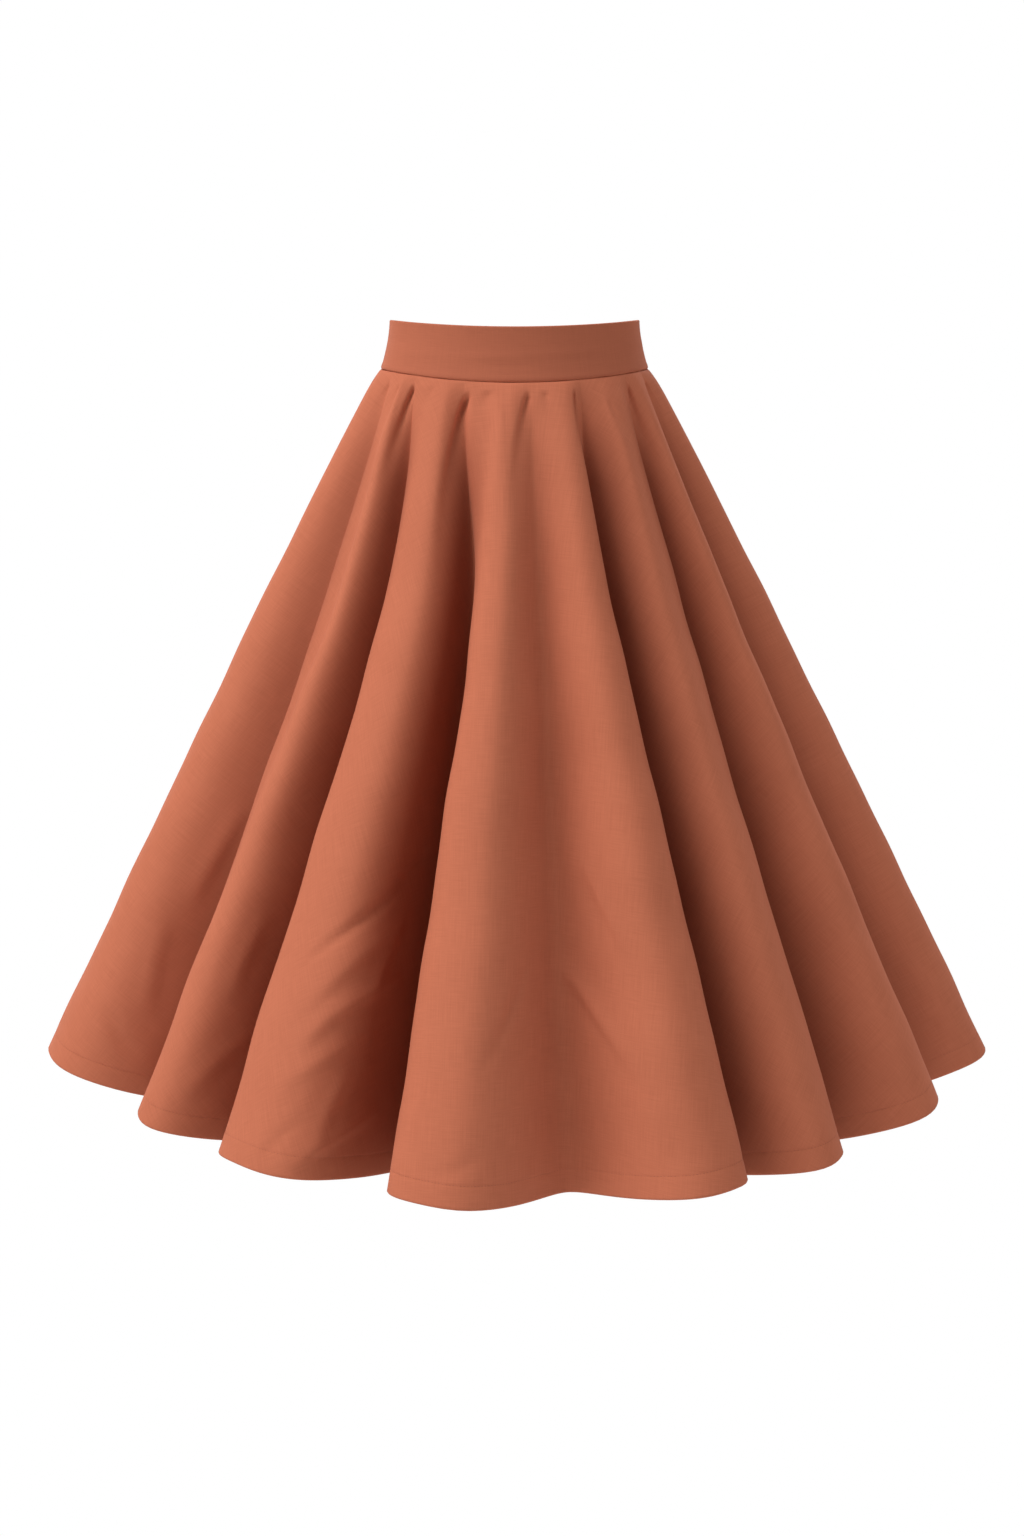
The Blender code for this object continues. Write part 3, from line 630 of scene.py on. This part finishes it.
def hem_join(name, seam, material):
    """The cloth of the hem's turn-up where it crosses a seam."""
    top, foot = HEM_WIDTH - HEM_JOIN["top"], HEM_JOIN["foot"]
    t = np.linspace(1 - top / CLOTH_LENGTH, 1 - foot / CLOTH_LENGTH, 8)[None, :]
    wall = np.full(t.shape, HEM_JOIN["wall"])
    return inner_strip(name, seam_places(seam, HEM_JOIN["width"], t), t, HEM_JOIN["depth"], wall, material)


def waist_strip(material):
    """The edge of the skirt's cloth inside the waist seam, from one side of the zip round to the other."""
    way_round = np.linspace(BACK_SEAM + 0.01, BACK_SEAM + ROUND_AGAIN - 0.01, ROUND_AGAIN * 12)
    fold = np.mod(way_round, ROUND_AGAIN)[:, None]
    t = np.array([0, 0.0012, 0.0030, WAIST_STRIP_END])[None, :]
    wall = np.full(t.shape, BEHIND_TAPE_WALL)
    return inner_strip("seam_allowance_waist", fold, t, PRESSED_DEPTH, wall, material, rise=SEAM_SPACE * 0.8)


def closed_piece(name, points, faces, places, material):
    """A closed mesh from points and faces, with the cut's flat places as its UV map."""
    mesh = bpy.data.meshes.new(name)
    mesh.from_pydata(points.tolist(), [], [[int(i) for i in face] for face in faces])
    add_cut(mesh, places)
    bm = bmesh.new()
    bm.from_mesh(mesh)
    return finished(mesh, bm, material)


# Sewing, in metres: length of a stitch, from one to the next, and the thread's half width and half thickness.
# The six points of a stitch are its start, right, top, left, underside and end.
STITCH_LENGTH, STITCH_STEP = 0.0023, 0.0032
THREAD_HALF = (0.00020, 0.00016)
STITCH_FACES = ((0, 1, 2), (0, 2, 3), (0, 3, 4), (0, 4, 1), (5, 2, 1), (5, 3, 2), (5, 4, 3), (5, 1, 4))


def way_along(points):
    """Distance from the first point to each point of a line."""
    return np.concatenate([[0], np.cumsum(np.linalg.norm(np.diff(points, axis=0), axis=1))])


def along_line(places, way, values):
    """Values given at each point of a line, read at any distances along it."""
    return np.stack([np.interp(places, way, values[:, i]) for i in range(values.shape[1])], axis=-1)


def stitch_row(name, points, normal, material):
    """A row of small stitches along a line of points on the cloth."""
    way = way_along(points)
    middles = np.arange(STITCH_STEP, way[-1] - STITCH_STEP / 2, STITCH_STEP)
    half = STITCH_LENGTH / 2
    middle, start, end = (along_line(middles + shift, way, points) for shift in (0, -half, half))
    up = along_line(middles, way, normal)
    up /= np.linalg.norm(up, axis=1, keepdims=True)
    side = np.cross(end - start, up)
    side /= np.linalg.norm(side, axis=1, keepdims=True)
    wide, thick = THREAD_HALF
    lift = up * thick * 0.7
    corners = [start - lift * 0.5]
    for x, y in ((1, 0), (0, 1), (-1, 0), (0, -1)):
        corners.append(middle + side * wide * x + up * thick * y + lift)
    corners.append(end - lift * 0.5)
    points = np.stack(corners, axis=1).reshape(-1, 3)
    first = np.arange(0, len(points), len(corners))
    faces = (first[:, None, None] + np.array(STITCH_FACES)).reshape(-1, 3)
    return closed_piece(name, points, faces.tolist(), np.zeros((len(points), 2)), material)


def hem_stitches(material):
    """The row of machine stitches that holds the hem's turn-up, all round, stopping at the panel seams."""
    level = 1 - HEM_STITCH_UP / CLOTH_LENGTH
    made = []
    for name, first, last in PANELS:
        fold = np.linspace(first + 0.015, last - 0.015, (last - first) * 60)
        points, normal, _, _ = dressed(fold, np.full(len(fold), level))
        made.append(stitch_row(f"hem_stitches_{name}", points, normal, material))
    return made


# The band, in metres but for its height, which is in millimetres. Its foot is tucked in, and so are its two ends.
BAND_WALL = 0.0028
BAND_HEIGHT_MM = 53
BAND_COLUMNS = 420
BAND_ROWS = 26
BAND_FOOT_ROWS_MM = (0.4, 0.9, 1.5, 2.2)
BAND_TOP_ROUND, BAND_TOP_TURNS = 0.0013, 9
BAND_FOOT_ROUND, BAND_FOOT_REACH_MM = 0.0008, 0.7
BAND_END_TUCK = 0.0007
BAND_BACK_RADIUS, BAND_MEAN_RADIUS = 0.11, 0.114
# The soft swelling over the seam allowance inside the band: its height, its distance above the seam and its reach.
BAND_SEAM_SWELL = (0.00035, 0.0035, 0.0022)
# Faint pulls: angle, share of the band's height, half width in degrees, half height as a share, height in metres.
BAND_PULLS = (
    (-12, 0.55, 16, 0.07, 0.00035),
    (-5, 0.72, 12, 0.06, -0.00030),
    (22, 0.50, 20, 0.08, 0.00040),
    (40, 0.66, 14, 0.07, -0.00035),
    (-48, 0.60, 18, 0.08, 0.00030),
    (-70, 0.40, 14, 0.09, -0.00030),
    (75, 0.45, 15, 0.08, 0.00035),
    (115, 0.55, 18, 0.08, 0.00035),
    (150, 0.68, 14, 0.07, -0.00030),
    (-120, 0.58, 18, 0.08, 0.00035),
    (-155, 0.45, 14, 0.07, 0.00030),
)


def band_height(degrees, share):
    """How far the band's outer face stands off its plain form."""
    total = np.zeros(np.broadcast(degrees, share).shape)
    for angle, level, wide, high, height in BAND_PULLS:
        total = total + height * np.exp(-(((degrees - angle) / wide) ** 2) - ((share - level) / high) ** 2)
    height, level, reach = BAND_SEAM_SWELL
    above_seam = (1 - share) * (BAND_HEIGHT_MM / 1000)
    return total + height * np.exp(-(((above_seam - level) / reach) ** 2))


def band_sections():
    """The band's angles, shares of its height, and outer and inner faces as grids round by down."""
    degrees = np.linspace(-180, 180, BAND_COLUMNS + 1)
    shares = np.linspace(0, 1, BAND_ROWS + 1)
    shares = np.unique(np.concatenate([shares, 1 - np.array(BAND_FOOT_ROWS_MM) / BAND_HEIGHT_MM]))
    d, s = degrees[:, None], shares[None, :]
    points = band_point(d, s)
    round_way = band_point(d + 0.5, s) - band_point(d - 0.5, s)
    down_way = band_point(d, s + 0.01) - band_point(d, np.maximum(s - 0.01, 0))
    normal = np.cross(down_way, round_way)
    normal /= np.linalg.norm(normal, axis=-1, keepdims=True)
    normal = normal * np.sign((normal * points * (1, 1, 0)).sum(axis=-1).mean())
    tuck = BAND_FOOT_ROUND * np.exp(-(((1 - s) * BAND_HEIGHT_MM / BAND_FOOT_REACH_MM) ** 2))[..., None]
    outer = points + normal * band_height(d, s)[..., None] - normal * tuck
    inner = points - normal * BAND_WALL + normal * tuck * 0.6
    end = np.minimum(degrees + 180, 180 - degrees) * np.pi / 180 * BAND_BACK_RADIUS
    end_tuck = BAND_END_TUCK * np.exp(-((end / BAND_END_TUCK) ** 2))[:, None, None]
    return degrees, shares, outer - normal * end_tuck, inner + normal * end_tuck * 0.5


def waistband_cloth(material):
    """The band as one folded strip: up its outer face, over its top edge and down its inner face."""
    degrees, shares, outer, inner = band_sections()
    turns = np.linspace(0, np.pi, BAND_TOP_TURNS)[1:-1]
    centre = (outer[:, :1] + inner[:, :1]) / 2
    half = (outer[:, :1] - inner[:, :1]) / 2
    up = np.array([0, 0, BAND_TOP_ROUND])
    cap = centre + half * np.cos(turns)[None, :, None] + up * np.sin(turns)[None, :, None]
    section = np.concatenate([outer[:, ::-1], cap, inner], axis=1)
    weight = np.concatenate([(1 - shares[::-1]) ** 6, np.ones(len(turns)), (1 - shares) ** 6])
    section = section - up * weight[None, :, None]
    section[0] = draw_back(section[0], section[1], SEAM_SPACE / 2)
    section[-1] = draw_back(section[-1], section[-2], SEAM_SPACE / 2)
    columns, rows = section.shape[:2]
    around = np.radians(degrees) * BAND_MEAN_RADIUS
    flat = np.stack(np.meshgrid(around, way_along(section[columns // 2]), indexing="ij"), axis=-1)
    number = np.arange(columns * rows).reshape(columns, rows)
    following = np.roll(number, -1, axis=1)
    faces = np.stack([number[:-1], following[:-1], following[1:], number[1:]], axis=-1).reshape(-1, 4)
    mesh = bpy.data.meshes.new("waistband_cloth")
    mesh.from_pydata(section.reshape(-1, 3).tolist(), [], faces.tolist())
    add_cut(mesh, flat.reshape(-1, 2))
    bm = bmesh.new()
    bm.from_mesh(mesh)
    bm.verts.ensure_lookup_table()
    for line in (number[0], number[-1][::-1]):
        for k in range(rows // 2 - 1):
            quad = (line[k], line[k + 1], line[rows - 2 - k], line[rows - 1 - k])
            bm.faces.new([bm.verts[i] for i in quad])
    bmesh.ops.holes_fill(bm, edges=[e for e in bm.edges if e.is_boundary], sides=8)
    return finished(mesh, bm, material)


# Colours of the cloth, and the painted shade that darkens its colour between the folds.
COTTON = (0.584, 0.176, 0.094, 1.0)
COTTON_DEEP = (0.506, 0.147, 0.077, 1.0)
COTTON_BAND = (0.497, 0.145, 0.077, 1.0)
BAND_DEEP = (0.450, 0.130, 0.069, 1.0)
PAINTED_SHADE_TINT = (0.42, 0.31, 0.29, 1.0)
PAINTED_SHADE_AMOUNT = 0.60
PAINTED_SHADE_RANGE = (0.05, 0.85)

# The cloth's finish, its weave's waves, its slubs as changes per metre in warp and weft, and its uneven colour.
COTTON_FINISH = {"Roughness": 0.84, "Specular IOR Level": 0.14, "Sheen Weight": 0.06, "Sheen Roughness": 0.45,
                 "Sheen Tint": (1.0, 0.55, 0.38, 1.0)}
THREAD_WAVE = {"Scale": 420, "Distortion": 1.2, "Detail": 1.0, "Detail Scale": 0.6}
SLUB_SCALES = ((950, 28, 1), (45, 1200, 1))
WEAVE_SHARE = 0.35
WEAVE_BUMP = {"Strength": 0.32, "Distance": 0.00022}
SLUB_SHARE = 0.5
MOTTLE_SHARE = 0.25
MOTTLE_RANGE = 0.20


def add_node(tree, kind, values=None, joined=None, **settings):
    """A shader node with its settings, the values of its inputs and the outputs joined to them."""
    node = tree.nodes.new(f"ShaderNode{kind}")
    for name, value in settings.items():
        setattr(node, name, value)
    for name, value in (values or {}).items():
        node.inputs[name].default_value = value
    for name, output in (joined or {}).items():
        tree.links.new(output, node.inputs[name])
    return node


def new_material(name, values):
    """A new material, its node tree and its shader, with values set on the shader."""
    material = bpy.data.materials.new(name)
    material.use_nodes = True
    tree = material.node_tree
    shader = tree.nodes["Principled BSDF"]
    for socket, value in values.items():
        shader.inputs[socket].default_value = value
    return material, tree, shader


def cotton(name, colour, deep):
    """Plain-weave cotton: warp and weft threads, slubs along both, a little uneven colour, painted shade between
    the folds, a matt sheen.
    """
    material, tree, shader = new_material(name, COTTON_FINISH)
    place = add_node(tree, "UVMap", uv_map="cut").outputs["UV"]
    threads, slubs = [], []
    for direction in ("X", "Y"):
        wave = add_node(tree, "TexWave", THREAD_WAVE, {"Vector": place}, bands_direction=direction)
        threads.append(wave.outputs["Fac"])
    for scale in SLUB_SCALES:
        mapping = add_node(tree, "Mapping", {"Scale": scale}, {"Vector": place})
        noise = add_node(tree, "TexNoise", {"Scale": 1.0, "Detail": 2.0}, {"Vector": mapping.outputs["Vector"]})
        slubs.append(noise.outputs["Fac"])
    weave = add_node(tree, "Math", joined=dict(enumerate(threads)), operation="MULTIPLY").outputs[0]
    slub = add_node(tree, "Math", joined=dict(enumerate(slubs)), operation="ADD").outputs[0]
    total = add_node(tree, "Math", {1: WEAVE_SHARE}, {0: weave, 2: slub}, operation="MULTIPLY_ADD")
    bump = add_node(tree, "Bump", WEAVE_BUMP, {"Height": total.outputs[0]})
    tree.links.new(bump.outputs["Normal"], shader.inputs["Normal"])
    mottle = add_node(tree, "TexNoise", {"Scale": 16, "Detail": 5.0}, {"Vector": place})
    share = add_node(tree, "Math", {1: MOTTLE_SHARE}, {0: mottle.outputs["Fac"]}, operation="MULTIPLY")
    blend = add_node(tree, "Math", {1: SLUB_SHARE}, {0: slub, 2: share.outputs[0]}, operation="MULTIPLY_ADD")
    ramp = add_node(tree, "ValToRGB", joined={"Fac": blend.outputs[0]})
    middle = SLUB_SHARE + 0.5 * MOTTLE_SHARE
    for stop, offset, stop_colour in zip(ramp.color_ramp.elements, (-MOTTLE_RANGE, MOTTLE_RANGE), (deep, colour)):
        stop.position = middle + offset
        stop.color = stop_colour
    # Painted shade: the colour is multiplied towards a dark tint where the folds shut the cloth in.
    depth = add_node(tree, "Attribute", attribute_name="painted_shade")
    limits = {"From Min": PAINTED_SHADE_RANGE[0], "From Max": PAINTED_SHADE_RANGE[1], "To Max": PAINTED_SHADE_AMOUNT}
    amount = add_node(tree, "MapRange", limits, {"Value": depth.outputs["Fac"]})
    painted_shade_mix = add_node(tree, "Mix", data_type="RGBA", blend_type="MULTIPLY")
    tree.links.new(amount.outputs["Result"], painted_shade_mix.inputs["Factor"])
    sockets = {socket.identifier: socket for socket in (*painted_shade_mix.inputs, *painted_shade_mix.outputs)}
    sockets["B_Color"].default_value = PAINTED_SHADE_TINT
    tree.links.new(ramp.outputs["Color"], sockets["A_Color"])
    tree.links.new(sockets["Result_Color"], shader.inputs["Base Color"])
    material.diffuse_color = colour
    return material


def plain(name, colour, roughness, metallic=0.0, grain=800.0, strength=0.1):
    """A single-coloured surface with a fine grain."""
    values = {"Base Color": colour, "Roughness": roughness, "Metallic": metallic}
    material, tree, shader = new_material(name, values)
    place = add_node(tree, "TexCoord").outputs["Object"]
    noise = add_node(tree, "TexNoise", {"Scale": grain}, {"Vector": place})
    bump = add_node(tree, "Bump", {"Strength": strength, "Distance": 0.0001}, {"Height": noise.outputs["Fac"]})
    tree.links.new(bump.outputs["Normal"], shader.inputs["Normal"])
    material.diffuse_color = colour
    return material


# The camera: in front of the skirt at the height of its top edge, in metres, degrees and millimetres.
CAMERA_DISTANCE = 2.55
CAMERA_SIDE = -0.00245
CAMERA_PITCH = 9.755
LENS, SENSOR = 61.08, 36
FLOOR_Z, FLOOR_HALF = -1.60, 30

# Soft square lamps round the skirt: azimuth, with 0 in front and -90 on the viewer's left, elevation and watts.
LAMP_AIM = (0, 0, -0.35)
LAMP_DISTANCE = 6.4
LAMP_SIZE = 2.6
LAMPS = (
    ("high_left_front", -65, 60, 220),
    ("high_left", -90, 60, 184),
    ("left", -65, 0, 103),
    ("front", -15, 0, 14),
    ("front_right", 40, 0, 66),
    ("right", 70, 30, 43),
    ("high_right", 100, 60, 53),
    ("back_left", 150, 35, 160),
    ("back_right", -150, 10, 78),
    ("back", 178, 5, 50),
)
WORLD_FILL = 0.0
FLOOR_FILL = 0.03
WHITE = (1, 1, 1, 1)


def split_by_ray(tree, seen, unseen, out):
    """Joins two shaders: one for what the camera sees of a plain pale surface, one for the light it gives."""
    mix = add_node(tree, "MixShader", joined={"Fac": add_node(tree, "LightPath").outputs["Is Camera Ray"],
                                              1: unseen, 2: seen})
    tree.links.new(mix.outputs["Shader"], tree.nodes[out].inputs["Surface"])


def pale_world():
    """A backdrop that is white to the camera and gives the skirt no light."""
    world = bpy.data.worlds.new("studio")
    world.use_nodes = True
    tree = world.node_tree
    seen = tree.nodes["Background"]
    seen.inputs["Color"].default_value = WHITE
    seen.inputs["Strength"].default_value = 1.0
    fill = add_node(tree, "Background", {"Color": WHITE, "Strength": WORLD_FILL})
    split_by_ray(tree, seen.outputs[0], fill.outputs[0], "World Output")
    return world


def pale_floor():
    """A white floor, evenly bright to the camera."""
    values = {"Base Color": (0.8, 0.8, 0.8, 1), "Roughness": 0.9, "Emission Color": WHITE}
    material, tree, shader = new_material("floor_pale", {**values, "Emission Strength": FLOOR_FILL})
    glow = add_node(tree, "Emission", {"Strength": 1.0})
    split_by_ray(tree, glow.outputs[0], shader.outputs[0], "Material Output")
    return material


def studio():
    """Camera at the photo's angle, a plain pale floor and soft light, mostly from the left and front."""
    scene = bpy.context.scene
    data = bpy.data.cameras.new("camera")
    data.lens = LENS
    data.sensor_width = SENSOR
    camera = bpy.data.objects.new("camera", data)
    camera.location = (CAMERA_SIDE, -CAMERA_DISTANCE, BAND_TOP_Z)
    camera.rotation_euler = (math.radians(90 - CAMERA_PITCH), 0, 0)
    scene.collection.objects.link(camera)
    scene.camera = camera
    bm = bmesh.new()
    bmesh.ops.create_grid(bm, x_segments=2, y_segments=2, size=FLOOR_HALF)
    mesh = bpy.data.meshes.new("floor")
    bm.to_mesh(mesh)
    bm.free()
    floor = bpy.data.objects.new("floor", mesh)
    floor.location = (0, 0, FLOOR_Z)
    scene.collection.objects.link(floor)
    mesh.materials.append(pale_floor())
    scene.world = pale_world()
    aim = Vector(LAMP_AIM)
    for name, azimuth, elevation, power in LAMPS:
        a, e = math.radians(azimuth), math.radians(elevation)
        lamp = bpy.data.lights.new(name, "AREA")
        lamp.shape = "SQUARE"
        lamp.size = LAMP_SIZE
        lamp.energy = power
        light = bpy.data.objects.new(name, lamp)
        way = Vector((math.sin(a) * math.cos(e), -math.cos(a) * math.cos(e), math.sin(e)))
        light.location = aim + way * LAMP_DISTANCE
        light.rotation_euler = (-way).to_track_quat("-Z", "Y").to_euler()
        scene.collection.objects.link(light)
    scene.view_settings.view_transform = "Standard"
    scene.view_settings.look = "None"


# Zip coil and the two rows of stitches that hold the tape, in metres: the coil starts below the slider.
COIL = {"start": 0.012, "end": 0.004, "step": 0.0011, "half_width": 0.0017, "half_thick": 0.00033}
TAPE_STITCHES_AT = (-0.006, 0.006)
TAPE_ROW_GAP = 0.003


def tape_line(x):
    """The zip tape's inner face at a distance from the centre back: points from top to foot, and normals."""
    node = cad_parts["zip_tape"]
    spots = np.array([node.matrix_world @ vertex.co for vertex in node.data.vertices])
    spots = spots[np.argsort(-spots[:, 2])]
    line, normal = [], []
    for row in np.split(spots, np.where(np.diff(spots[:, 2]) < -TAPE_ROW_GAP)[0] + 1):
        pair = row[np.argsort(np.abs(row[:, 0] - x))[:2]]
        inner, outer = pair[np.argsort(pair[:, 1])]
        line.append(inner)
        normal.append((inner - outer) / np.linalg.norm(inner - outer))
    return np.array(line), np.array(normal)


def zip_coil(material):
    """The zip's closed coil on the inner face of its tape, as a row of short bars across it."""
    line, normal = tape_line(0)
    way = way_along(line)
    middles = np.arange(COIL["start"], way[-1] - COIL["end"], COIL["step"])
    spot, up = along_line(middles, way, line), along_line(middles, way, normal)
    down = np.cross(up, (1, 0, 0))
    down /= np.linalg.norm(down, axis=1, keepdims=True)
    corners = []
    for side in (-1, 1):
        for degrees in range(0, 360, 60):
            a = math.radians(degrees)
            ring = down * math.cos(a) + up * (math.sin(a) + 0.9)
            corners.append(spot + (side * COIL["half_width"], 0, 0) + ring * COIL["half_thick"])
    points = np.stack(corners, axis=1).reshape(-1, 3)
    faces = []
    for first in range(0, len(points), 12):
        faces += [[first + k, first + (k + 1) % 6, first + 6 + (k + 1) % 6, first + 6 + k] for k in range(6)]
        faces += [[first + k for k in range(6)], [first + 6 + k for k in range(6)]]
    return closed_piece("zip_coil", points, faces, np.zeros((len(points), 2)), material)


studio()
SURFACE = cloth_surface()
PANEL_CLOTH = cotton("panel_cotton", COTTON, COTTON_DEEP)
BAND_CLOTH = cotton("band_cotton", COTTON_BAND, BAND_DEEP)
# The cut of the front is a half ring and that of each back a quarter ring.
for side, first, last in PANELS:
    node, part = f"{side}_panel", 1 if side == "front" else 0.5
    cloth = cloth_panel(f"{side}_cloth", SURFACE, first, last, PANEL_CLOTH)
    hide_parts(node)
    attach(cloth, SKIRT)
band = waistband_cloth(BAND_CLOTH)
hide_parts("waistband")
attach(band, SKIRT)
sewn = [waist_strip(PANEL_CLOTH)]
for side, seam in (("right", SIDE_SEAM_RIGHT), ("left", SIDE_SEAM_LEFT), ("back", BACK_SEAM)):
    sewn.append(seam_allowance(f"seam_allowance_{side}", seam, PANEL_CLOTH))
    sewn.append(hem_join(f"hem_join_{side}", seam, PANEL_CLOTH))
THREAD = plain("thread", (0.36, 0.095, 0.050, 1), 0.75, grain=2500, strength=0.2)
sewn += hem_stitches(THREAD)
for piece in sewn:
    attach(piece, SKIRT)
TAPE = plain("tape_weave", (0.40, 0.105, 0.060, 1), 0.8, grain=1500, strength=0.3)
METAL = plain("enamel", (0.36, 0.11, 0.065, 1), 0.42, metallic=0.15, grain=300, strength=0.02)
COIL_NYLON = plain("coil_nylon", (0.36, 0.10, 0.060, 1), 0.4, grain=600, strength=0.02)
on_tape = [zip_coil(COIL_NYLON)]
for stitch_side, x in zip(("right", "left"), TAPE_STITCHES_AT):
    on_tape.append(stitch_row(f"tape_stitches_{stitch_side}", *tape_line(x), THREAD))
for piece in on_tape:
    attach(piece, SKIRT)
# The zip's own solids stay, with their finished surfaces.
for name, material in (("zip_tape", TAPE), ("zip_slider", METAL), ("zip_pull_tab", METAL)):
    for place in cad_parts[name].material_slots:
        place.material = material
